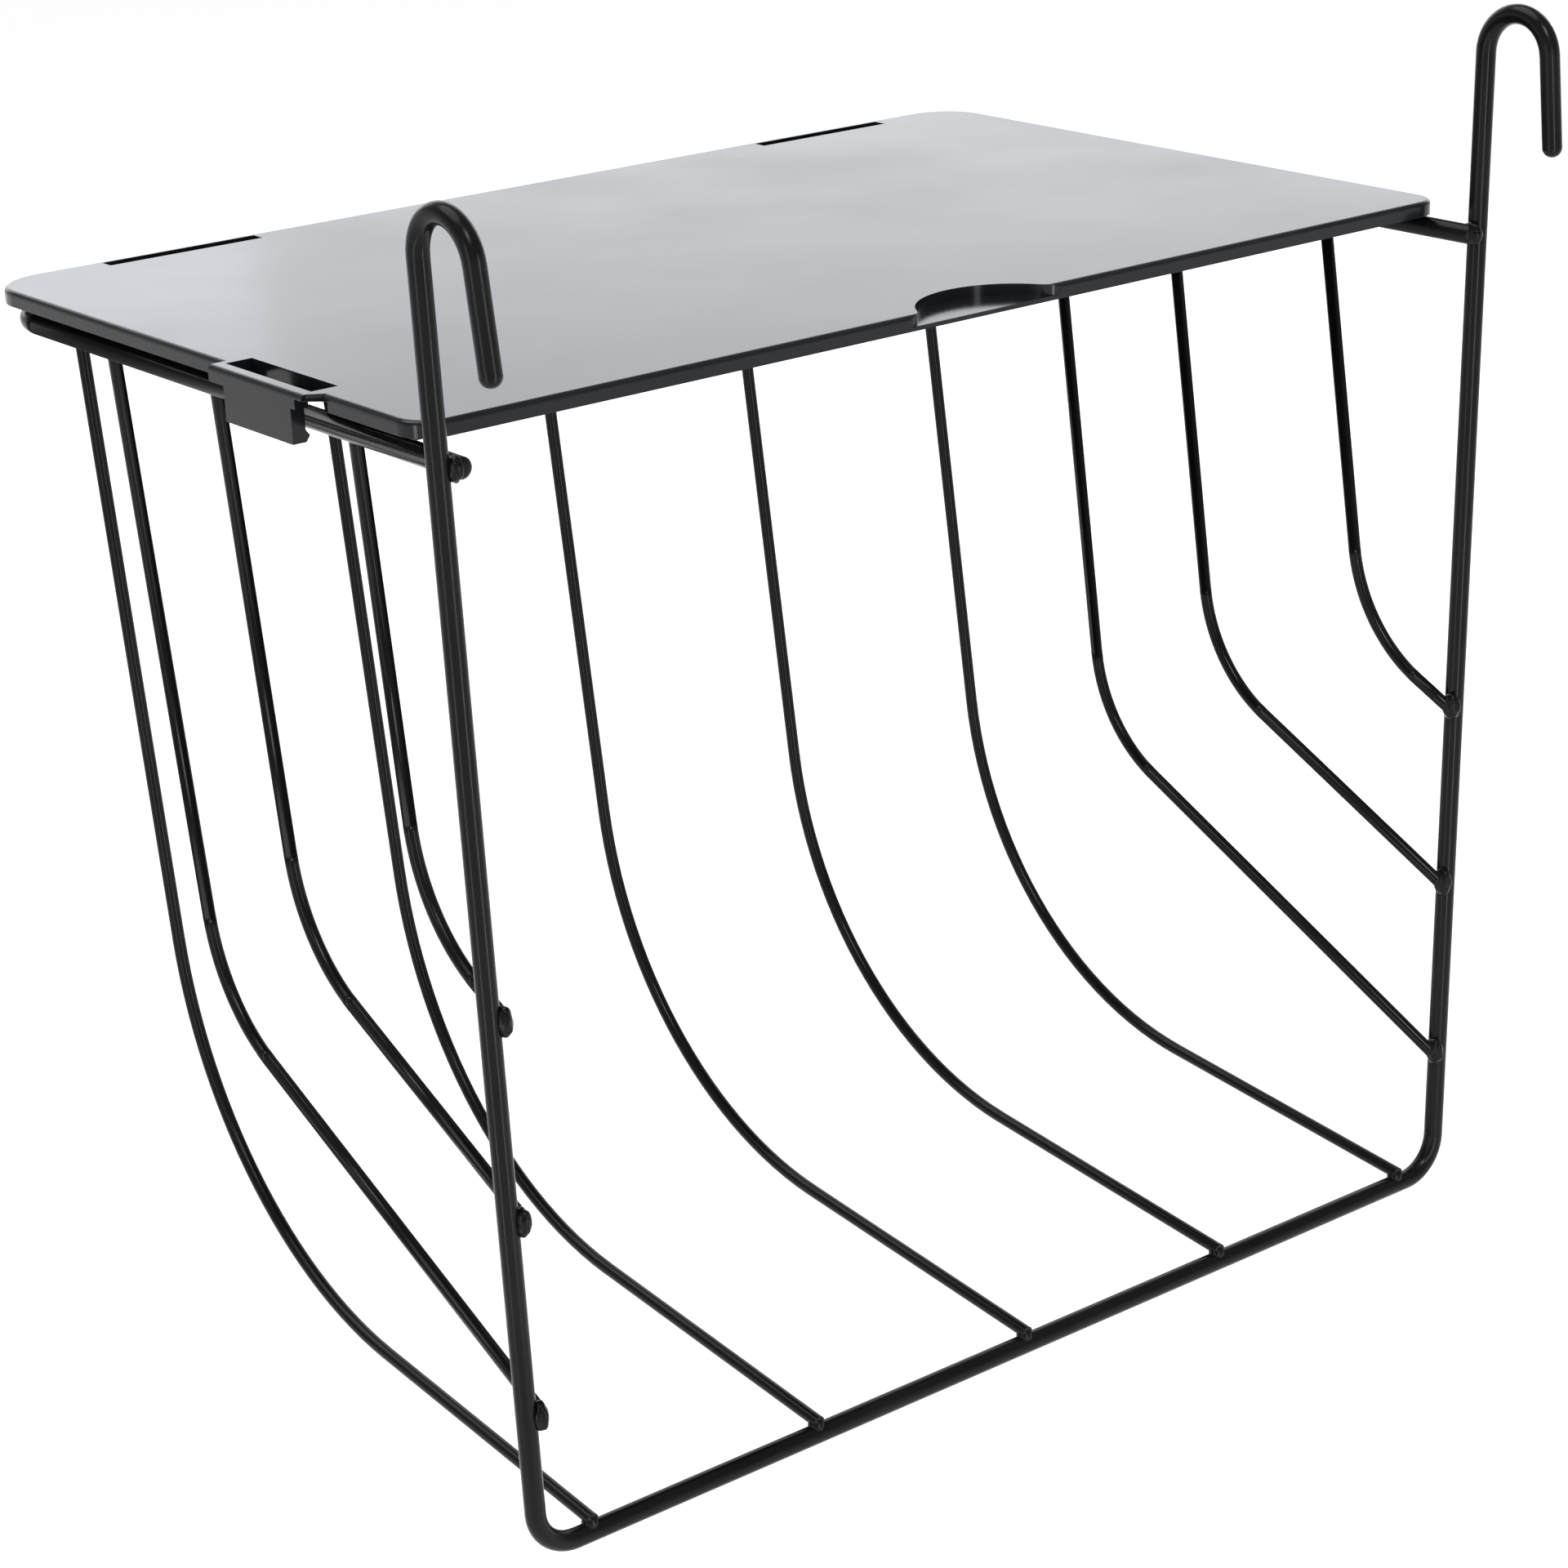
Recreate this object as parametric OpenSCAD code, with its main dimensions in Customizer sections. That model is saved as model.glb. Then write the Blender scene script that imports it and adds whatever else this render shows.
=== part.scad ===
// Hay feeder box: a welded wire basket that hangs on a cage wall, with a snap-on plastic lid.
// Millimetres. +Z is up, +Y points at the cage wall, +X is the side with the lid's side clip.
// The origin is midway between the two hooks, on the line where they rest on the cage wire.

/* [Wire] */
// Diameter of the thick wire of both frames
frame_d = 3.2; // [2.6:0.1:4]
// Diameter of the thin basket wires
rib_d = 2.1; // [1.6:0.1:2.6]
// How deep two wires are pressed into each other at a weld
weld_set = 0.3; // [0.1:0.05:0.5]
// Radius of the weld bead on a thin wire
rib_bead_r = 1.35; // [1.1:0.05:1.7]
// Radius of the weld bead between an arm and a leg
frame_bead_r = 1.7; // [1.4:0.05:2.2]

/* [Back frame] */
// Width between the leg centre lines at the bottom bar
back_w = 192; // [150:1:260]
// Outward lean of each leg, degrees
leg_splay = 1.7; // [0:0.05:3]
// Centre line radius of the two bottom corners
back_bend_r = 7; // [4:0.5:14]
// Length of a leg from the bottom bar to the start of its hook
leg_length = 195.4; // [180:0.2:240]
// Centre line radius of a hook
hook_r = 6.6; // [5:0.1:12]
// Outward lean of a hook's free limb, degrees
hook_flare = 6; // [0:0.5:12]
// Length of a hook's free limb up to its rounded tip
hook_limb = 14.2; // [6:0.2:30]

/* [Top frame] */
// Height of the top frame above the bottom bar
top_height = 166.5; // [120:0.1:175]
// Distance from the legs to the front bar
top_depth = 127.6; // [100:0.2:160]
// Centre line radius of the two front corners
top_bend_r = 12; // [6:0.5:13]
// Length of an arm's end behind its leg
arm_tail = 4.5; // [3:0.1:10]

/* [Front wires] */
// Distance of the outermost front wires from the leg centre lines at the bottom
front_inset = 9.4; // [9:0.1:30]
// Lean of a front wire's upper part towards the wall, degrees
front_lean = 7.8; // [2:0.1:12]
// Fall of a front wire's lower part towards the wall, degrees
front_slope = 5.6; // [2:0.1:18]
// Centre line radius of a front wire's bend
front_bend_r = 63; // [30:1:80]
// Length of a front wire past the bottom bar's centre
front_foot = 0.7; // [0.2:0.1:3]
// Height of the thin wires' tops above the centre of the top frame
rib_top = 0.8; // [0:0.1:1.2]

/* [Side wires] */
// Distance from the legs to the top of the first side wire
side_top_first = 29; // [20:0.5:40]
// Spacing of the side wires along the arm
side_top_pitch = 34; // [24:0.5:36]
// Distance of the middle side wire's top from its even place, towards the front
side_middle_shift = 3.5; // [0:0.5:6]
// Height of the lowest weld of a side wire on the leg
side_foot_first = 23.5; // [14:0.5:34]
// Spacing of the side wires' welds up the leg
side_foot_pitch = 31.5; // [24:0.5:36]
// Lean of a side wire's upper part towards the wall, degrees
side_lean = 7.8; // [2:0.1:12]
// Fall of a side wire's lower part towards the wall, degrees
side_slope = 25; // [12:0.5:34]
// Centre line radius of a side wire's bend
side_bend_r = 26; // [12:1:32]
// Length of a side wire past the leg's centre
side_foot = 4; // [2:0.1:8]

/* [Lid] */
// Height of the rim's underside above the top of the arms
lid_lift = 1; // [0.6:0.1:2]
// Thickness of the lid at its rim
lid_rim_h = 2.4; // [2:0.1:4]
// Thickness of the lid's plate
lid_skin_t = 1.8; // [1.2:0.1:2]
// Width of the rim
lid_rim_w = 1.6; // [1.2:0.1:3]
// Rounding of the lid's upper edges
lid_edge_r = 0.8; // [0.3:0.05:1.1]
// Overhang of the lid past the centre of the front bar
lid_front_over = 1; // [0.4:0.1:1.1]
// Gap between the lid's back edge and the centre of the legs
lid_back_gap = 5.3; // [3:0.1:12]
// Overhang of the lid past the centre lines of the arms
lid_side_over = 1.4; // [1:0.1:2]
// Distance the lid sits over towards its side clip
lid_shift = 0.9; // [0:0.1:1]
// Radius of the lid's two front corners
lid_front_corner_r = 9; // [4:0.5:14]
// Radius of the lid's two back corners
lid_back_corner_r = 5; // [3:0.5:12]
// Width of the stiffening ribs under the lid
lid_rib_w = 1.2; // [0.8:0.1:2]
// Width of the skids that rest on the arms
skid_w = 2; // [1.5:0.1:3]
// Clearance between a skid and its arm
skid_gap = 0.3; // [0.2:0.05:0.6]
// Distance from the front bar to the front end of a skid
skid_front = 19; // [16:0.5:30]
// Distance from the lid's back edge to the back end of a skid
skid_back = 3.6; // [2:0.1:8]

/* [Hinge clips] */
// Radial running clearance of a hinge clip round the front bar
hinge_gap = 0.08; // [0.03:0.01:0.1]
// Wall of a hinge clip round the front bar
hinge_wall = 1.32; // [1:0.02:2]
// Distance of each hinge clip from the lid's middle
hinge_x = 66; // [60:0.5:68]
// Length of the open window over a hinge clip
hinge_window = 28; // [16:0.5:29]
// Thickness of the cheeks at the ends of a hinge clip
hinge_cheek = 1.4; // [1:0.1:2]
// Width of the strip of rim left in front of the window
hinge_strip = 1.2; // [1:0.1:1.6]
// Reach of the window behind the centre of the front bar
hinge_window_back = 3; // [2:0.1:3.2]
// Reach of the inner jaw behind the centre of the front bar
hinge_jaw_back = 4.2; // [4:0.1:6]
// Height of the jaws inside the window above the centre of the front bar
hinge_jaw_top = 0.9; // [0.4:0.1:1.4]
// Angle at which the snap mouth starts, degrees
mouth_start = 230; // [220:1:240]
// Angle at which the snap mouth ends, degrees
mouth_end = 320; // [310:1:325]

/* [Side clip] */
// Distance from the front bar to the front end of the side clip's tab
tab_start = 72; // [50:0.5:84]
// Length of the tab's front shoulder, where no flap hangs from it
shoulder_length = 4; // [1:0.1:8]
// Length of the side clip's flap
flap_length = 18; // [12:0.2:24]
// Length of the tab past the flap
tab_over = 3; // [1:0.1:5]
// Length of the slant that leads the tab back into the lid's edge
slant_length = 2.5; // [1:0.1:5]
// Thickness of the flap
flap_t = 2.2; // [1.6:0.1:3]
// Clearance between the flap and the side of the arm
flap_gap = 1; // [0.7:0.1:1.5]
// Depth of the flap below the centre of the arm
flap_drop = 2.6; // [2:0.1:6]
// Clearance between the flap's barb and the side of the arm
barb_gap = 0.35; // [0.3:0.05:0.6]
// Height of the barb's upper and lower slopes
barb_h = 0.9; // [0.5:0.1:1.2]
// Width of the bridge at the front end of the side window
bridge_front = 1.2; // [0.8:0.1:3]
// Width of the bridge at the back end of the side window
bridge_back = 3.3; // [2:0.1:5]
// Reach of the side window inside the centre line of the arm
side_window_in = 1.8; // [1:0.1:4]
// Thickness of the wall that stands inside the side window, under the plate
window_wall_t = 1.2; // [0.8:0.1:2]
// Length of that wall past the front end of the window
window_wall_over = 6; // [1:0.5:12]
// Distance from the flap's end to the pocket under the tab
pocket_post = 1.2; // [0.8:0.1:3]
// Length of the pocket under the end of the tab
pocket_length = 4.6; // [2:0.2:8]
// Thickness of the skin left over the pocket
pocket_roof = 0.9; // [0.6:0.1:1.4]

/* [Thumb scoop] */
// Radius of the thumb scoop
scoop_r = 13.5; // [8:0.5:18]
// Depth of the thumb scoop from the lid's back edge
scoop_depth = 9; // [5:0.5:12]
// Radius of the scoop's two shoulders
scoop_shoulder_r = 3; // [2:0.5:8]
// Thickness of the scoop's floor
scoop_floor = 0.7; // [0.5:0.1:1.2]
// Wall around the scoop under the lid
scoop_wall = 1.2; // [0.8:0.1:2]

/* [Hidden] */
$fn = 64;
wire_colour = [0.1, 0.1, 0.11];
lid_colour = [0.2, 0.21, 0.23];
// Overshoot of a cut past the face it opens
cut = 1;
// Growth of a wire's diameter where it is bent, so that its straight parts end inside the bend
bend_swell = 0.02;
// Length of a straight part inside its bend
bend_overlap = 0.05;
// Smallest step, left where two curves of the thumb scoop would otherwise only touch
tangent_step = 0.05;

frame_r = frame_d / 2;
rib_r = rib_d / 2;
// Distance between the centre lines of two thick wires that are welded together
frame_weld = frame_d - weld_set;
// Distance between the centre lines of a thick and a thin wire that are welded together
rib_weld = frame_r + rib_r - weld_set;
// Half the width between the leg centre lines at a height above the bottom bar
function leg_x(height) = back_w / 2 + height * tan(leg_splay);
front_pitch = (back_w / 2 - front_inset) / 2;
arm_x = leg_x(top_height) - frame_weld / cos(leg_splay);
side_top_x = arm_x - rib_weld;
function side_foot_x(height) = leg_x(height) - rib_weld / cos(leg_splay);

// The hooks rest on the cage wire at the top of their inner curve
hook_centre = [
    leg_x(0) + leg_length * sin(leg_splay),
    hook_r,
    leg_length * cos(leg_splay)
];
seat_z = hook_centre.z + (hook_r - frame_r) * cos(leg_splay);

// Lid heights are measured from the centre of the front bar
lid_bottom = frame_r + lid_lift;
lid_top = lid_bottom + lid_rim_h;
lid_skin_bottom = lid_top - lid_skin_t;
lid_left = arm_x + lid_side_over + lid_shift;
lid_right = -arm_x - lid_side_over + lid_shift;
lid_back = top_depth - lid_back_gap;
skid_bottom = frame_r + skid_gap;
skid_x = arm_x + lid_side_over - lid_shift - skid_w / 2;
hinge_bore_r = frame_r + hinge_gap;
hinge_outer_r = hinge_bore_r + hinge_wall;
flap_x = arm_x + frame_r + flap_gap;
flap_start = tab_start + shoulder_length;
flap_end = flap_start + flap_length;
tab_end = flap_end + tab_over;
barb_reach = flap_gap - barb_gap;
side_window_start = tab_start + bridge_front;
side_window_end = tab_end + slant_length - bridge_back;

// Two-dimensional cross product
function cross_2d(p, q) = p.x * q.y - p.y * q.x;

// Moves the basket so that the hooks' seat is at the origin
module seated() {
    translate([0, -hook_r, -seat_z])
        children();
}

// Turns a flat drawing with y and z coordinates into the plane of a basket wire
module upright() {
    rotate([90, 0, 90])
        children();
}

// Straight wire between two points of a flat drawing. Its ends run into their bends by an overlap.
module wire_line(from, to, d, from_over = 0, to_over = 0) {
    run = to - from;
    translate([from.x, from.y, 0])
        rotate([0, 0, atan2(run.y, run.x)])
            translate([-from_over, 0, 0])
                rotate([0, 90, 0])
                    cylinder(h = from_over + norm(run) + to_over, d = d);
}

// Bent wire about a point of a flat drawing
module wire_arc(centre, start, sweep, r, d) {
    translate([centre.x, centre.y, 0])
        rotate([0, 0, start])
            rotate_extrude(angle = sweep, $fn = 128)
                translate([r, 0])
                    circle(d = d + bend_swell);
}

// Wire bent once: it leans down from above, turns and falls gently to its foot.
// Both points lie on its straight parts, "over" is its length past each of them.
module bent_wire(top, lean, top_over, foot, slope, foot_over, r, d) {
    down = [sin(lean), -cos(lean)];
    back = [cos(slope), -sin(slope)];
    turn = 90 - lean - slope;
    upper = cross_2d(foot - top, back) / cross_2d(down, back);
    lower = cross_2d(down, foot - top) / cross_2d(down, back);
    corner = top + upper * down;
    bend_r = min(r, 0.95 * min(upper, lower) / tan(turn / 2));
    bend_start = corner - bend_r * tan(turn / 2) * down;
    bend_end = corner + bend_r * tan(turn / 2) * back;
    centre = bend_start + bend_r * [cos(lean), sin(lean)];
    wire_line(top, bend_start, d, top_over, bend_overlap);
    wire_arc(centre, 180 + lean, turn, bend_r, d);
    wire_line(bend_end, foot, d, bend_overlap, foot_over);
}

// One leg with its bottom corner and hook, on the left side
module leg() {
    turn = 90 - leg_splay;
    corner = back_bend_r * tan(turn / 2);
    rotate([90, 0, 0])
        wire_arc([leg_x(0) - corner, back_bend_r], -90, turn, back_bend_r, frame_d);
    translate([leg_x(0), 0, 0])
        rotate([0, leg_splay, 0]) {
            translate([0, 0, corner - bend_overlap])
                cylinder(h = leg_length - corner + 2 * bend_overlap, d = frame_d);
            translate([0, 0, leg_length])
                upright()
                    hook();
        }
}

// Hook in a flat drawing, from the top of the leg to its rounded tip
module hook() {
    limb_start = [hook_r + hook_r * cos(hook_flare), hook_r * sin(hook_flare)];
    limb_end = limb_start + hook_limb * [sin(hook_flare), -cos(hook_flare)];
    wire_arc([hook_r, 0], hook_flare, 180 - hook_flare, hook_r, frame_d);
    wire_line(limb_start, limb_end, frame_d, bend_overlap, 0);
    translate([limb_end.x, limb_end.y, 0])
        sphere(d = frame_d + bend_swell);
}

// The whole wire of the back frame, from hook to hook
module back_wire() {
    straight = 2 * (leg_x(0) - back_bend_r * tan((90 - leg_splay) / 2) + bend_overlap);
    translate([-straight / 2, 0, 0])
        rotate([0, 90, 0])
            cylinder(h = straight, d = frame_d);
    leg();
    mirror([1, 0, 0])
        leg();
}

// The whole wire of the top frame: front bar, two corners and two arms
module top_wire() {
    bend_x = arm_x - top_bend_r;
    bend_y = top_bend_r - top_depth;
    translate([0, 0, top_height]) {
        translate([-bend_x - bend_overlap, -top_depth, 0])
            rotate([0, 90, 0])
                cylinder(h = 2 * (bend_x + bend_overlap), d = frame_d);
        for (side = [0, 1])
            mirror([side, 0, 0]) {
                wire_arc([bend_x, bend_y], -90, 90, top_bend_r, frame_d);
                wire_line([arm_x, bend_y], [arm_x, arm_tail], frame_d, bend_overlap, 0);
            }
    }
}

// Thin wire with its weld beads, cut to seat on both frames
module welded_rib() {
    difference() {
        children();
        back_wire();
        top_wire();
    }
}

// Front wire at a distance from the middle
module front_wire(x) {
    top = [rib_weld / cos(front_lean) - top_depth, top_height];
    foot = [0, rib_weld / cos(front_slope)];
    seated()
        welded_rib() {
            translate([x, 0, 0])
                upright() {
                    bent_wire(
                        top, front_lean, rib_top,
                        foot, front_slope, front_foot,
                        front_bend_r, rib_d
                    );
                    translate([frame_r - top_depth, top_height, 0])
                        sphere(r = rib_bead_r);
                    translate([0, frame_r, 0])
                        sphere(r = rib_bead_r);
                }
        }
}

// Side wire on the left, numbered from the wall to the front
module side_wire(index) {
    shift = index == 2 ? side_middle_shift : 0;
    top = [-side_top_first - (index - 1) * side_top_pitch - shift, top_height];
    foot = [0, side_foot_first + (3 - index) * side_foot_pitch];
    tilt = atan((side_top_x - side_foot_x(foot.y)) / (top_height - foot.y));
    seated()
        welded_rib() {
            translate([side_top_x, 0, top_height])
                rotate([0, tilt, 0])
                    translate([0, 0, -top_height])
                        upright()
                            bent_wire(
                                top, side_lean, rib_top,
                                foot, side_slope, side_foot,
                                side_bend_r, rib_d
                            );
            translate([arm_x - frame_r, top.x, top.y])
                sphere(r = rib_bead_r);
            translate([leg_x(foot.y) - frame_r, 0, foot.y])
                sphere(r = rib_bead_r);
        }
}

// Moves the lid's own drawing to the front bar
module at_front_bar() {
    translate([0, -top_depth, top_height])
        children();
}

// Lid outline, drawn in from its edge by an inset
module lid_outline(inset) {
    left = lid_left - inset;
    right = lid_right + inset;
    front = inset - lid_front_over;
    back = lid_back - inset;
    front_r = lid_front_corner_r - inset;
    back_r = lid_back_corner_r - inset;
    translate([right, front + front_r])
        square([left - right, back - back_r - front - front_r]);
    translate([right + front_r, front])
        square([left - right - 2 * front_r, front_r + cut]);
    translate([right + back_r, back - back_r - cut])
        square([left - right - 2 * back_r, back_r + cut]);
    for (x = [right + front_r, left - front_r])
        translate([x, front + front_r])
            circle(r = front_r);
    for (x = [right + back_r, left - back_r])
        translate([x, back - back_r])
            circle(r = back_r);
}

// Upright strip whose outer upper edge is rounded
module edge_profile(width, height) {
    square([width - lid_edge_r, height]);
    square([width, height - lid_edge_r]);
    translate([width - lid_edge_r, height - lid_edge_r])
        circle(r = lid_edge_r);
}

// Straight run of the rim from its start, which faces outwards at an angle
module rim_run(start, angle, length) {
    translate([start.x, start.y, lid_bottom])
        rotate([0, 0, angle])
            translate([-lid_rim_w, 0, 0])
                rotate([90, 0, 0])
                    linear_extrude(length)
                        edge_profile(lid_rim_w, lid_rim_h);
}

// Rounded corner of the rim
module rim_corner(centre, angle, r) {
    translate([centre.x, centre.y, lid_bottom])
        rotate([0, 0, angle])
            rotate_extrude(angle = 90, $fn = 96)
                translate([r - lid_rim_w, 0])
                    edge_profile(lid_rim_w, lid_rim_h);
}

// Rim round the whole lid, swept along its four sides and four corners
module lid_rim() {
    front = -lid_front_over;
    fr = lid_front_corner_r;
    br = lid_back_corner_r;
    width = lid_left - lid_right;
    depth = lid_back - front;
    rim_run([lid_left, lid_back - br], 0, depth - fr - br);
    rim_run([lid_right + br, lid_back], 90, width - 2 * br);
    rim_run([lid_right, front + fr], 180, depth - fr - br);
    rim_run([lid_left - fr, front], 270, width - 2 * fr);
    rim_corner([lid_left - br, lid_back - br], 0, br);
    rim_corner([lid_right + br, lid_back - br], 90, br);
    rim_corner([lid_right + fr, front + fr], 180, fr);
    rim_corner([lid_left - fr, front + fr], 270, fr);
}

// Straight ribs under the lid: three across it and one behind each hinge clip
module lid_stiffeners() {
    depth = lid_rim_h - lid_skin_t + lid_edge_r;
    for (i = [1:3])
        translate([lid_right + lid_rim_w / 2, i * lid_back / 4 - lid_rib_w / 2, lid_bottom])
            cube([lid_left - lid_right - lid_rim_w, lid_rib_w, depth]);
    for (x = [-hinge_x, hinge_x])
        translate([x - lid_rib_w / 2, hinge_window_back, lid_bottom])
            cube([lid_rib_w, lid_back - hinge_window_back - lid_rim_w / 2, depth]);
}

// Strips under the lid that stand just clear of the arms
module lid_skids() {
    for (x = [-skid_x, skid_x])
        translate([x - skid_w / 2, skid_front, skid_bottom])
            cube([skid_w, lid_back - skid_back - skid_front, lid_skin_bottom - skid_bottom + lid_edge_r]);
}

// Section of a hinge clip: a bored block with a snap mouth underneath
module hinge_section() {
    middle = (mouth_start + mouth_end) / 2;
    reach = 3 * hinge_outer_r;
    difference() {
        union() {
            circle(r = hinge_outer_r);
            translate([0, -hinge_jaw_top])
                square([hinge_jaw_back, lid_skin_bottom + hinge_jaw_top + lid_edge_r / 2]);
            translate([-lid_front_over, 0])
                square([lid_front_over, lid_top - lid_edge_r]);
        }
        circle(r = hinge_bore_r);
        polygon([
            [0, 0],
            reach * [cos(mouth_start), sin(mouth_start)],
            reach * [cos(middle), sin(middle)],
            reach * [cos(mouth_end), sin(mouth_end)]
        ]);
    }
}

// Solid hinge clip round the front bar, with its two end cheeks
module hinge_clip(x) {
    length = hinge_window + 2 * hinge_cheek;
    translate([x - length / 2, 0, 0])
        upright()
            linear_extrude(length)
                hinge_section();
}

// Window over a hinge clip, behind a strip of the rim
module hinge_opening(x) {
    front = hinge_strip - lid_front_over;
    translate([x - hinge_window / 2, front, hinge_jaw_top])
        cube([hinge_window, hinge_window_back - front, lid_top]);
}

// Section of the side clip's outer part, as deep as a given height
module clip_section(height) {
    translate([0, lid_top - height])
        edge_profile(flap_t, height);
}

// Snap barb low on the flap's inner face
module barb_section() {
    translate([0, -flap_drop])
        polygon([
            [cut / 2, 0],
            [0, 0],
            [-barb_reach, barb_h],
            [0, 2 * barb_h],
            [cut / 2, 2 * barb_h]
        ]);
}

// Extrudes a section of the side clip between two distances from the front bar
module along_arm(from, to) {
    translate([flap_x, to, 0])
        rotate([90, 0, 0])
            linear_extrude(to - from)
                children();
}

// Side clip: a tab beyond the lid's edge with a flap that hangs down past the arm
module side_clip() {
    tab_in = lid_left - lid_edge_r - flap_x;
    along_arm(tab_start, tab_end)
        clip_section(lid_rim_h);
    along_arm(flap_start, flap_end) {
        clip_section(lid_top + flap_drop);
        barb_section();
    }
    translate([flap_x, 0, lid_bottom])
        linear_extrude(lid_rim_h - lid_edge_r)
            polygon([
                [tab_in, tab_start],
                [flap_t, tab_start],
                [flap_t, tab_end],
                [tab_in + lid_edge_r, tab_end + slant_length],
                [tab_in, tab_end + slant_length]
            ]);
    translate([flap_x, 0, lid_bottom])
        linear_extrude(lid_rim_h)
            polygon([
                [tab_in, tab_start],
                [flap_t - lid_edge_r, tab_start],
                [flap_t - lid_edge_r, tab_end],
                [tab_in, tab_end + slant_length - lid_edge_r]
            ]);
}

// Wall under the plate, along the inner side of the side window
module window_wall() {
    start = side_window_start - window_wall_over;
    translate([arm_x - side_window_in - window_wall_t, start, skid_bottom])
        cube([
            window_wall_t + cut,
            side_window_end + window_wall_t - start,
            lid_skin_bottom - skid_bottom + lid_edge_r
        ]);
}

// Window above the arm, between the plate and the flap
module side_window() {
    translate([arm_x - side_window_in, side_window_start, skid_bottom - cut])
        cube([
            flap_x - arm_x + side_window_in,
            side_window_end - side_window_start,
            lid_top - skid_bottom + 2 * cut
        ]);
}

// Pocket under the end of the tab, cut through the rim
module tab_pocket() {
    translate([lid_left - lid_rim_w, flap_end + pocket_post, lid_bottom - cut])
        cube([
            flap_x + flap_t + cut - lid_left + lid_rim_w,
            pocket_length,
            lid_rim_h - pocket_roof + cut
        ]);
}

// Outline of the thumb scoop, grown outwards by a wall
module scoop_outline(wall) {
    r = scoop_r + wall;
    shoulder = scoop_shoulder_r - wall - tangent_step;
    scoop_y = lid_back - scoop_depth + scoop_r;
    shoulder_y = lid_back - scoop_shoulder_r;
    rise = shoulder_y - scoop_y;
    shoulder_x = sqrt((scoop_r + scoop_shoulder_r) ^ 2 - rise ^ 2);
    tangent_y = scoop_y + rise * r / (scoop_r + scoop_shoulder_r);
    translate([0, scoop_y])
        circle(r = r);
    difference() {
        translate([-shoulder_x, tangent_y])
            square([2 * shoulder_x, lid_back + cut - tangent_y]);
        for (x = [-shoulder_x, shoulder_x])
            translate([x, shoulder_y])
                circle(r = shoulder);
    }
}

// Solid boss under the plate that the scoop is sunk into
module scoop_boss() {
    translate([0, 0, lid_bottom])
        linear_extrude(lid_rim_h - lid_edge_r)
            intersection() {
                scoop_outline(scoop_wall);
                lid_outline(0);
            }
}

// Space of the thumb scoop above its floor
module scoop_space() {
    translate([0, 0, lid_bottom + scoop_floor])
        linear_extrude(lid_rim_h)
            scoop_outline(0);
}

module back_frame() {
    color(wire_colour)
        seated()
            back_wire();
}

module top_frame() {
    color(wire_colour)
        seated()
            difference() {
                union() {
                    top_wire();
                    for (side = [-1, 1])
                        translate([side * (arm_x + frame_weld / 2), 0, top_height])
                            sphere(r = frame_bead_r);
                }
                back_wire();
            }
}

module front_wire_1() {
    color(wire_colour)
        front_wire(2 * front_pitch);
}

module front_wire_2() {
    color(wire_colour)
        front_wire(front_pitch);
}

module front_wire_3() {
    color(wire_colour)
        front_wire(0);
}

module front_wire_4() {
    color(wire_colour)
        front_wire(-front_pitch);
}

module front_wire_5() {
    color(wire_colour)
        front_wire(-2 * front_pitch);
}

module left_side_wire_1() {
    color(wire_colour)
        side_wire(1);
}

module left_side_wire_2() {
    color(wire_colour)
        side_wire(2);
}

module left_side_wire_3() {
    color(wire_colour)
        side_wire(3);
}

module right_side_wire_1() {
    color(wire_colour)
        mirror([1, 0, 0])
            side_wire(1);
}

module right_side_wire_2() {
    color(wire_colour)
        mirror([1, 0, 0])
            side_wire(2);
}

module right_side_wire_3() {
    color(wire_colour)
        mirror([1, 0, 0])
            side_wire(3);
}

module lid() {
    color(lid_colour)
        seated()
            at_front_bar()
                difference() {
                    union() {
                        translate([0, 0, lid_skin_bottom])
                            linear_extrude(lid_skin_t)
                                lid_outline(lid_edge_r);
                        lid_rim();
                        lid_stiffeners();
                        lid_skids();
                        scoop_boss();
                        side_clip();
                        window_wall();
                        hinge_clip(-hinge_x);
                        hinge_clip(hinge_x);
                    }
                    hinge_opening(-hinge_x);
                    hinge_opening(hinge_x);
                    side_window();
                    tab_pocket();
                    scoop_space();
                }
}

back_frame();
top_frame();
front_wire_1();
front_wire_2();
front_wire_3();
front_wire_4();
front_wire_5();
left_side_wire_1();
left_side_wire_2();
left_side_wire_3();
right_side_wire_1();
right_side_wire_2();
right_side_wire_3();
lid();
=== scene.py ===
import bmesh
import bpy
from mathutils import Matrix, Vector
from mathutils import noise as hash_noise


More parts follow.
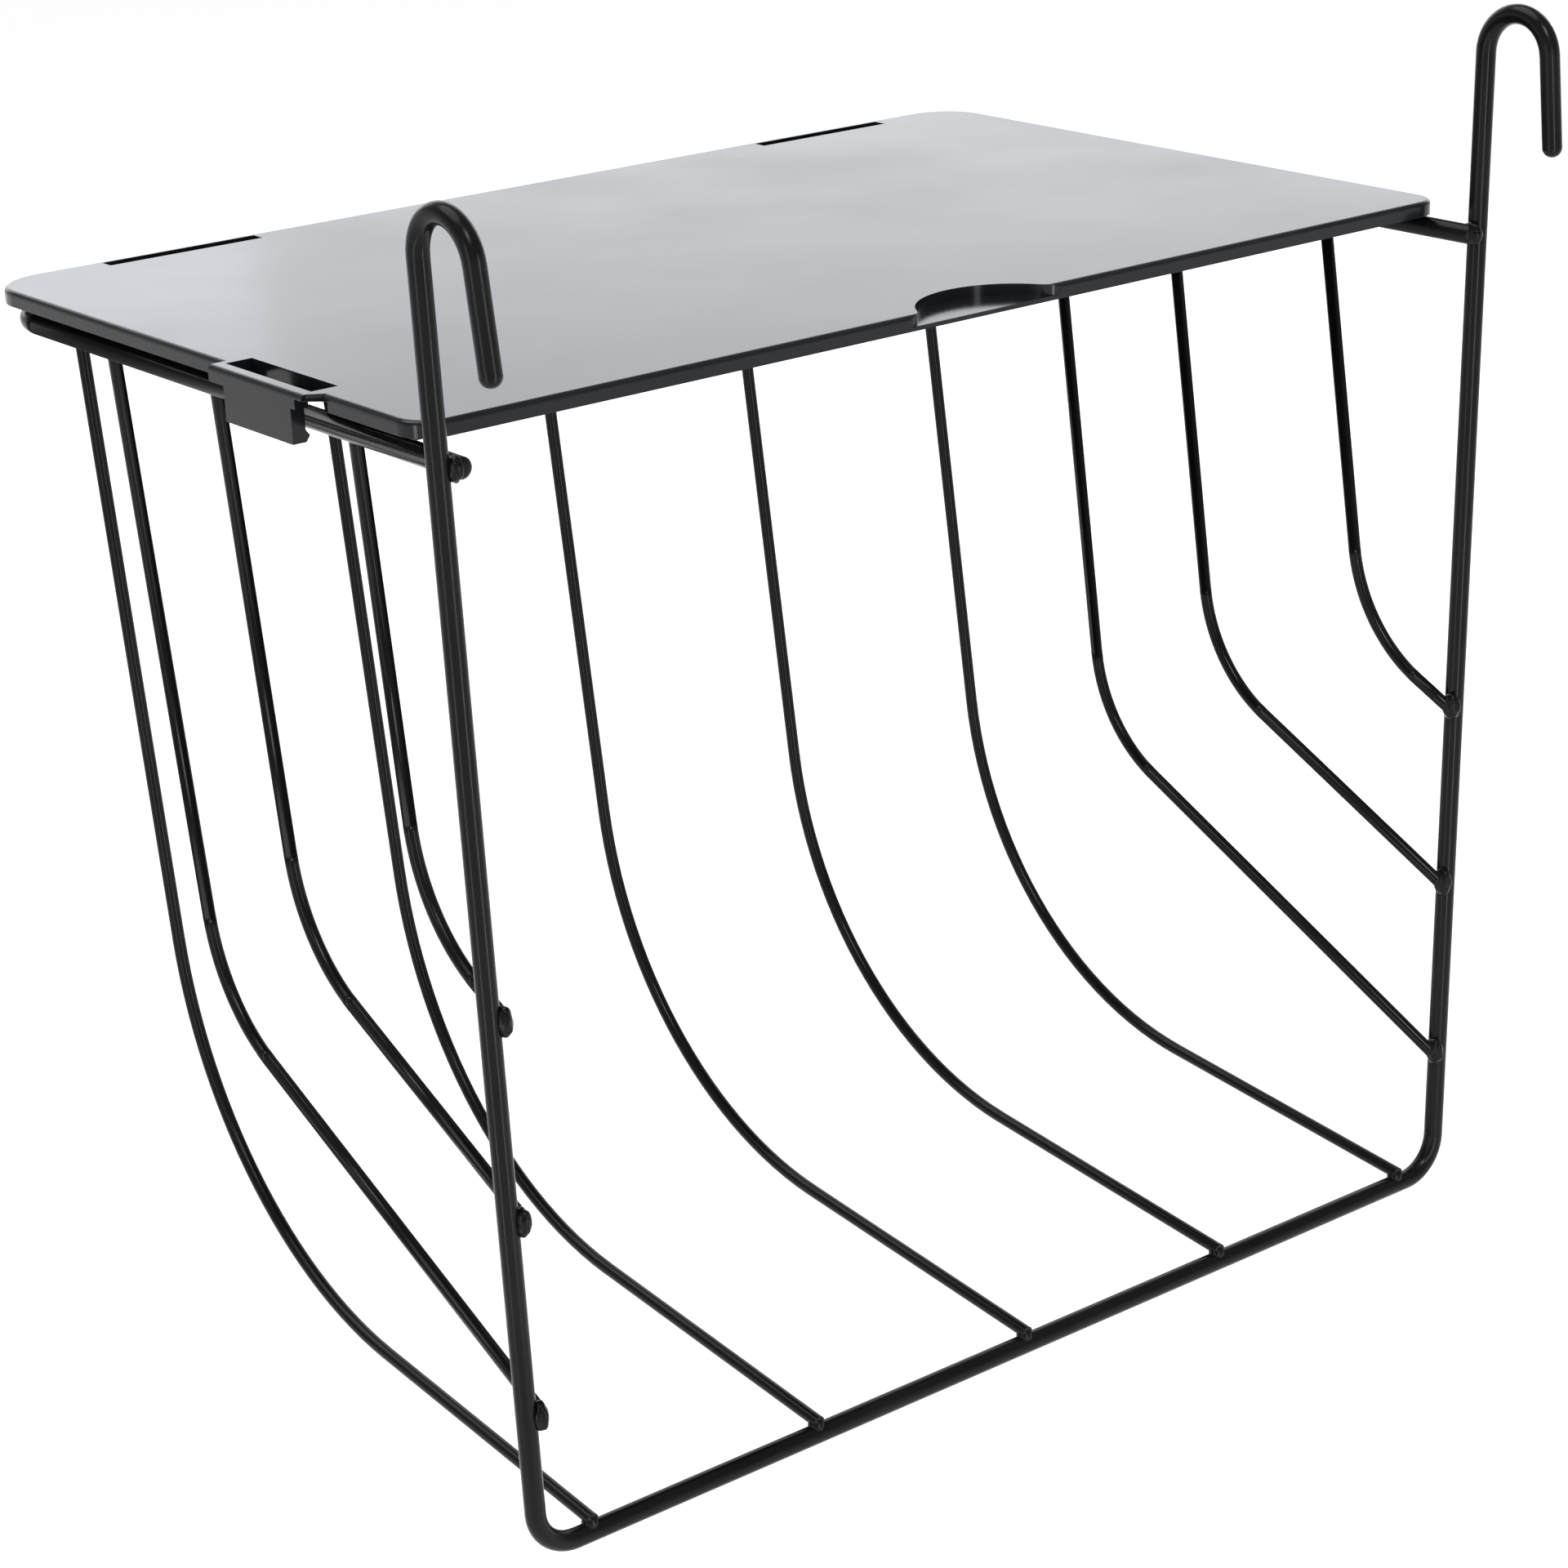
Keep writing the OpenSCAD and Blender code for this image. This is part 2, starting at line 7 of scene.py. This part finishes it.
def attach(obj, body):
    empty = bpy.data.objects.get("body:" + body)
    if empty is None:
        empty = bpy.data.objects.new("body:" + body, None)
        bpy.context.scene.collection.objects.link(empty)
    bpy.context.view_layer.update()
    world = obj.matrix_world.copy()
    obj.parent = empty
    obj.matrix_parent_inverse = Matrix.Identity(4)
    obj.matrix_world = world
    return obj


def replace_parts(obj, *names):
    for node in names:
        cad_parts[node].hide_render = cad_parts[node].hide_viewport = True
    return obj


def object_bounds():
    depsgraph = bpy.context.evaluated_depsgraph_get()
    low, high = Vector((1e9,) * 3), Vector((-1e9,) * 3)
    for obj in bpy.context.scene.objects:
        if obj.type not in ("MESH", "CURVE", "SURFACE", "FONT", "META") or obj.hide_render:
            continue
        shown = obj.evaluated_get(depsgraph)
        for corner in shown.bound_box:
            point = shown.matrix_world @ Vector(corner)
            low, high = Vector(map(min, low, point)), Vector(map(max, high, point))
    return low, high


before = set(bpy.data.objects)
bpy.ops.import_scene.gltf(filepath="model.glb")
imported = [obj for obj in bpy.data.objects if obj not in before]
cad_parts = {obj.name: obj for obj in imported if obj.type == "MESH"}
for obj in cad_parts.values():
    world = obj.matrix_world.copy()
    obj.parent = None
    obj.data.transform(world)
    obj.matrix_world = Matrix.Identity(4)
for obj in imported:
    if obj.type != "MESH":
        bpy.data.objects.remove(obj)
cad_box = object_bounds()

# Lengths are in metres. +Z is up, +Y points at the cage wall, +X is the side with the lid's side clip.
MM = 0.001
WIRES = [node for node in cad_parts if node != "lid"]

# ---------------------------------------------------------------- node helpers

# Part of a noise's range that is spread over two colours or two roughnesses
NOISE_SPAN = (0.3, 0.7)


def new_material(name):
    mat = bpy.data.materials.new(name)
    mat.use_nodes = True
    tree = mat.node_tree
    tree.nodes.clear()
    out = tree.nodes.new("ShaderNodeOutputMaterial")
    shader = tree.nodes.new("ShaderNodeBsdfPrincipled")
    tree.links.new(shader.outputs["BSDF"], out.inputs["Surface"])
    return mat, shader


def noise(tree, vector, scale, detail, rough):
    node = tree.nodes.new("ShaderNodeTexNoise")
    node.inputs["Scale"].default_value = scale
    node.inputs["Detail"].default_value = detail
    node.inputs["Roughness"].default_value = rough
    tree.links.new(vector, node.inputs["Vector"])
    return node.outputs["Fac"]


def remap(tree, value, span, to_span):
    """Value that runs over the second span while the given one runs over the first."""
    node = tree.nodes.new("ShaderNodeMapRange")
    node.inputs["From Min"].default_value = span[0]
    node.inputs["From Max"].default_value = span[1]
    node.inputs["To Min"].default_value = to_span[0]
    node.inputs["To Max"].default_value = to_span[1]
    tree.links.new(value, node.inputs["Value"])
    return node.outputs["Result"]


def ramp(tree, value, colours):
    """Colour that runs from the first to the second while the noise runs over its span."""
    node = tree.nodes.new("ShaderNodeValToRGB")
    for stop, place, colour in zip(node.color_ramp.elements, NOISE_SPAN, colours):
        stop.position = place
        stop.color = (*colour, 1)
    tree.links.new(value, node.inputs["Fac"])
    return node.outputs["Color"]


def bump(tree, height, strength, distance, normal=None):
    node = tree.nodes.new("ShaderNodeBump")
    node.inputs["Strength"].default_value = strength
    node.inputs["Distance"].default_value = distance
    tree.links.new(height, node.inputs["Height"])
    if normal is not None:
        tree.links.new(normal, node.inputs["Normal"])
    return node.outputs["Normal"]


def object_space(tree):
    return tree.nodes.new("ShaderNodeTexCoord").outputs["Object"]


# ------------------------------------------------------------------- materials

COAT_COLOURS = ((0.003, 0.003, 0.0032), (0.0052, 0.0053, 0.0056))
COAT_ROUGHNESS = (0.15, 0.26)
COAT_SPECULAR = 0.12

LID_COLOURS = ((0.0055, 0.006, 0.0072), (0.008, 0.0085, 0.0098))
LID_ROUGHNESS = (0.13, 0.2)
LID_SPECULAR = 0.24


def powder_coat():
    """Gloss black powder coat on steel wire: a faint orange peel and a softer sheen in patches."""
    mat, shader = new_material("black_powder_coat")
    tree = mat.node_tree
    space = object_space(tree)
    peel = noise(tree, space, scale=900.0, detail=3.0, rough=0.55)
    flow = noise(tree, space, scale=120.0, detail=3.0, rough=0.5)
    cloud = noise(tree, space, scale=45.0, detail=2.0, rough=0.5)
    tree.links.new(ramp(tree, cloud, COAT_COLOURS), shader.inputs["Base Color"])
    tree.links.new(remap(tree, flow, NOISE_SPAN, COAT_ROUGHNESS), shader.inputs["Roughness"])
    normal = bump(tree, flow, strength=0.25, distance=0.2 * MM)
    normal = bump(tree, peel, strength=0.12, distance=0.06 * MM, normal=normal)
    tree.links.new(normal, shader.inputs["Normal"])
    shader.inputs["Specular IOR Level"].default_value = COAT_SPECULAR
    return mat


def lid_plastic():
    """Gloss black moulded plastic: slightly wavy, with a fine grain and a softer sheen in patches."""
    mat, shader = new_material("gloss_black_plastic")
    tree = mat.node_tree
    space = object_space(tree)
    wave = noise(tree, space, scale=14.0, detail=2.0, rough=0.45)
    grain = noise(tree, space, scale=650.0, detail=4.0, rough=0.6)
    patch = noise(tree, space, scale=30.0, detail=3.0, rough=0.5)
    tree.links.new(ramp(tree, patch, LID_COLOURS), shader.inputs["Base Color"])
    tree.links.new(remap(tree, patch, NOISE_SPAN, LID_ROUGHNESS), shader.inputs["Roughness"])
    normal = bump(tree, wave, strength=0.18, distance=1.2 * MM)
    normal = bump(tree, grain, strength=0.05, distance=0.05 * MM, normal=normal)
    tree.links.new(normal, shader.inputs["Normal"])
    shader.inputs["Specular IOR Level"].default_value = LID_SPECULAR
    return mat


def assign(obj, mat):
    obj.data.materials.clear()
    obj.data.materials.append(mat)


coat = powder_coat()
for name in WIRES:
    assign(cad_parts[name], coat)
assign(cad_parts["lid"], lid_plastic())

# ------------------------------------------------------- wire ends and their welds

LEFT = 1
RIGHT = -1
# Place of the legs' middle
LEG_Y = -6.6 * MM
# Wires that are welded to the legs. The last ring of a wire's solid lies further past the leg's middle
# than "reach", and it moves back by "cut". "bead" is half the size of the weld bead.
ARM_END = {
    "radius": 1.6 * MM,
    "reach": 3.6 * MM,
    "cut": 3.2 * MM,
    "bead": (1.3 * MM, 1.7 * MM, 1.9 * MM),
}
RIB_END = {
    "radius": 1.05 * MM,
    "reach": 2.6 * MM,
    "cut": 3.3 * MM,
    "bead": (1.3 * MM, 1.7 * MM, 2.4 * MM),
}
# What a saddle cut left past the new end is drawn back to this far behind it
END_MARGIN = 0.05 * MM
# Steps of a rounded end: size in shares of the ring before it, and rise in shares of the wire's radius
DOME = ((0.93, 0.14), (0.78, 0.13), (0.5, 0.08))
# Points of a node's mesh that are closer than this are one
MERGE_DISTANCE = 0.001 * MM
# Edges that bend by more than this angle, in radians, stay sharp
SHARP_ANGLE = 0.7
# A bead lies towards its leg by this share of the wire's radius
BEAD_SHIFT = 0.6
# Distance of a bead past the leg's middle
BEAD_PAST_LEG = 0.9 * MM
# Fineness of a bead's mesh
BEAD_SUBDIVISIONS = 4
# Depth of a bead's lumps as a share of the bead
LUMP_DEPTH = 0.14
# How close a bead's lumps lie
LUMP_SCALE = 1.7
# How fast the lumps change from one bead's place to the next
LUMP_CHANGE = 900


def new_piece(name, bm, mat):
    """Piece of the basket made from a mesh that is still being edited."""
    mesh = bpy.data.meshes.new(name)
    bm.normal_update()
    bm.to_mesh(mesh)
    bm.free()
    mesh.shade_smooth()
    mesh.set_sharp_from_angle(angle=SHARP_ANGLE)
    obj = bpy.data.objects.new(name, mesh)
    bpy.context.scene.collection.objects.link(obj)
    assign(obj, mat)
    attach(obj, "basket")
    return obj


def cut_back(bm, side, end):
    """Draws a wire's end back to its leg. Returns the face that closes it and the way that face looks."""
    ring = {vert for vert in bm.verts if vert.co.y > LEG_Y + end["reach"] and vert.co.x * side > 0}
    caps = [face for face in bm.faces if all(vert in ring for vert in face.verts)]
    out = sum((face.normal * face.calc_area() for face in caps), Vector()).normalized()
    for vert in ring:
        vert.co -= out * end["cut"]
    stop = min(vert.co.dot(out) for vert in ring) - END_MARGIN
    for vert in bm.verts:
        over = vert.co.dot(out) - stop
        if vert not in ring and vert.co.x * side > 0 and over > 0:
            vert.co -= out * over
    return bmesh.ops.dissolve_faces(bm, faces=caps)["region"][0], out


def round_over(bm, face, out, radius):
    """Raises a low dome on the face that closes a wire's end."""
    for size, rise in DOME:
        face = bmesh.ops.extrude_discrete_faces(bm, faces=[face])["faces"][0]
        middle = face.calc_center_median()
        for vert in face.verts:
            vert.co = middle + (vert.co - middle) * size + out * rise * radius


def short_ended(node, name, sides, end):
    """Copy that stands for a welded wire, cut back and rounded over at the legs. Returns its tips."""
    bm = bmesh.new()
    bm.from_mesh(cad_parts[node].data)
    bmesh.ops.remove_doubles(bm, verts=bm.verts, dist=MERGE_DISTANCE)
    tips = []
    for side in sides:
        face, out = cut_back(bm, side, end)
        tips.append(face.calc_center_median().copy())
        round_over(bm, face, out, end["radius"])
    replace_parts(new_piece(name, bm, coat), node)
    return tips


def weld_beads(ends):
    """Uneven weld bead where each wire's tip lies against its leg, drawn out along the leg."""
    bm = bmesh.new()
    for tip, end in ends:
        side = LEFT if tip.x > 0 else RIGHT
        middle = Vector((tip.x + side * BEAD_SHIFT * end["radius"], LEG_Y + BEAD_PAST_LEG, tip.z))
        ball = bmesh.ops.create_icosphere(bm, subdivisions=BEAD_SUBDIVISIONS, radius=1.0)["verts"]
        for vert in ball:
            lump = 1 + LUMP_DEPTH * hash_noise.noise(vert.co * LUMP_SCALE + tip * LUMP_CHANGE)
            vert.co = middle + Vector(part * half for part, half in zip(vert.co * lump, end["bead"]))
    new_piece("weld_beads", bm, coat)


welded_ends = [
    (tip, ARM_END)
    for tip in short_ended("top_frame", "top_frame_wire", (LEFT, RIGHT), ARM_END)
]
for side_name, side in (("left", LEFT), ("right", RIGHT)):
    for index in (1, 2, 3):
        node = f"{side_name}_side_wire_{index}"
        welded_ends += [(tip, RIB_END) for tip in short_ended(node, node + "_coated", (side,), RIB_END)]
weld_beads(welded_ends)

# ----------------------------------------------------------------------- floor

FLOOR_SIZE = 60.0
# Distance of the floor below the object
FLOOR_DROP = 0.12
FLOOR_COLOUR = (0.94, 0.94, 0.94)
FLOOR_ROUGHNESS = 0.9
FLOOR_SPECULAR = 0.1


def floor_white():
    mat, shader = new_material("floor_white")
    shader.inputs["Base Color"].default_value = (*FLOOR_COLOUR, 1)
    shader.inputs["Roughness"].default_value = FLOOR_ROUGHNESS
    shader.inputs["Specular IOR Level"].default_value = FLOOR_SPECULAR
    return mat


bpy.ops.mesh.primitive_plane_add(size=FLOOR_SIZE, location=(0, 0, cad_box[0][2] - FLOOR_DROP))
floor = bpy.context.object
floor.name = "studio_floor"
assign(floor, floor_white())

# ---------------------------------------------------------------------- lights

WHITE = (1.0, 1.0, 1.0)
# Middle of the object, where the panels point
MIDDLE = (0, -0.06, -0.1)


def light(name, kind, place, aim, power):
    """Light of one kind at a place, turned towards another place."""
    data = bpy.data.lights.new(name, kind)
    data.energy = power
    obj = bpy.data.objects.new(name, data)
    bpy.context.scene.collection.objects.link(obj)
    obj.location = place
    obj.rotation_euler = (Vector(aim) - Vector(place)).to_track_quat("-Z", "Y").to_euler()
    return obj


def panel(name, place, size, power, colour=WHITE):
    """Rectangular light that points at the object and can't be seen itself."""
    obj = light(name, "AREA", place, MIDDLE, power)
    obj.data.shape = "RECTANGLE"
    obj.data.size = size[0]
    obj.data.size_y = size[1]
    obj.data.color = colour
    obj.visible_camera = False


# Soft light from above, as wide as this angle in radians
SUN_ANGLE = 0.9
sun = light("top_light", "SUN", place=(0.25, -0.35, 1.0), aim=(0, 0, 0), power=2.0)
sun.data.angle = SUN_ANGLE

# The two panels beyond the front bar are what the lid mirrors, and the others give the wires their shine
panel("far_panel", place=(-0.8, -1.15, 0.5), size=(2.6, 0.8), power=10.6, colour=(0.92, 0.955, 1.0))
panel("side_panel", place=(-0.43, -1.3, 0.2), size=(0.34, 0.6), power=0.3, colour=(0.9, 0.945, 1.0))
panel("key", place=(0.5, 0.9, 1.3), size=(0.5, 0.5), power=12.0)
panel("left_strip", place=(0.38, 0.057, -0.11), size=(0.05, 0.42), power=0.35)
panel("right_strip", place=(0.02, 0.36, -0.11), size=(0.05, 0.42), power=0.7)

# The sky's strength falls from the horizon upwards, over this span of a direction's height
SKY_HEIGHT = (0.06, 0.24)
SKY_STRENGTH = (1.0, 0.43)

world = bpy.data.worlds.new("studio")
bpy.context.scene.world = world
world.use_nodes = True
sky_tree = world.node_tree
sky = sky_tree.nodes["Background"]
sky.inputs["Color"].default_value = (*WHITE, 1)
heights = sky_tree.nodes.new("ShaderNodeSeparateXYZ")
direction = sky_tree.nodes.new("ShaderNodeTexCoord").outputs["Generated"]
sky_tree.links.new(direction, heights.inputs["Vector"])
glow = remap(sky_tree, heights.outputs["Z"], SKY_HEIGHT, SKY_STRENGTH)
sky_tree.links.new(glow, sky.inputs["Strength"])
bpy.context.scene.view_settings.view_transform = "Standard"

# ---------------------------------------------------------------------- camera

SENSOR_WIDTH = 36.0
LENS = 88.243
SHIFT = (0.00186, 0.00139)
CLIP = (0.02, 50.0)
CAMERA_PLACE = (0.36641, 0.40864, 0.10073)
# The camera's own axes
CAMERA_RIGHT = (-0.78325, 0.62077, -0.03394)
CAMERA_UP = (-0.23959, -0.25102, 0.93786)
CAMERA_BACK = (0.57368, 0.74272, 0.34534)

cam_data = bpy.data.cameras.new("camera")
cam_data.sensor_width = SENSOR_WIDTH
cam_data.lens = LENS
cam_data.shift_x = SHIFT[0]
cam_data.shift_y = SHIFT[1]
cam_data.clip_start = CLIP[0]
cam_data.clip_end = CLIP[1]
cam = bpy.data.objects.new("camera", cam_data)
bpy.context.scene.collection.objects.link(cam)
turn = Matrix((CAMERA_RIGHT, CAMERA_UP, CAMERA_BACK)).transposed().to_4x4()
cam.matrix_world = Matrix.Translation(CAMERA_PLACE) @ turn
bpy.context.scene.camera = cam
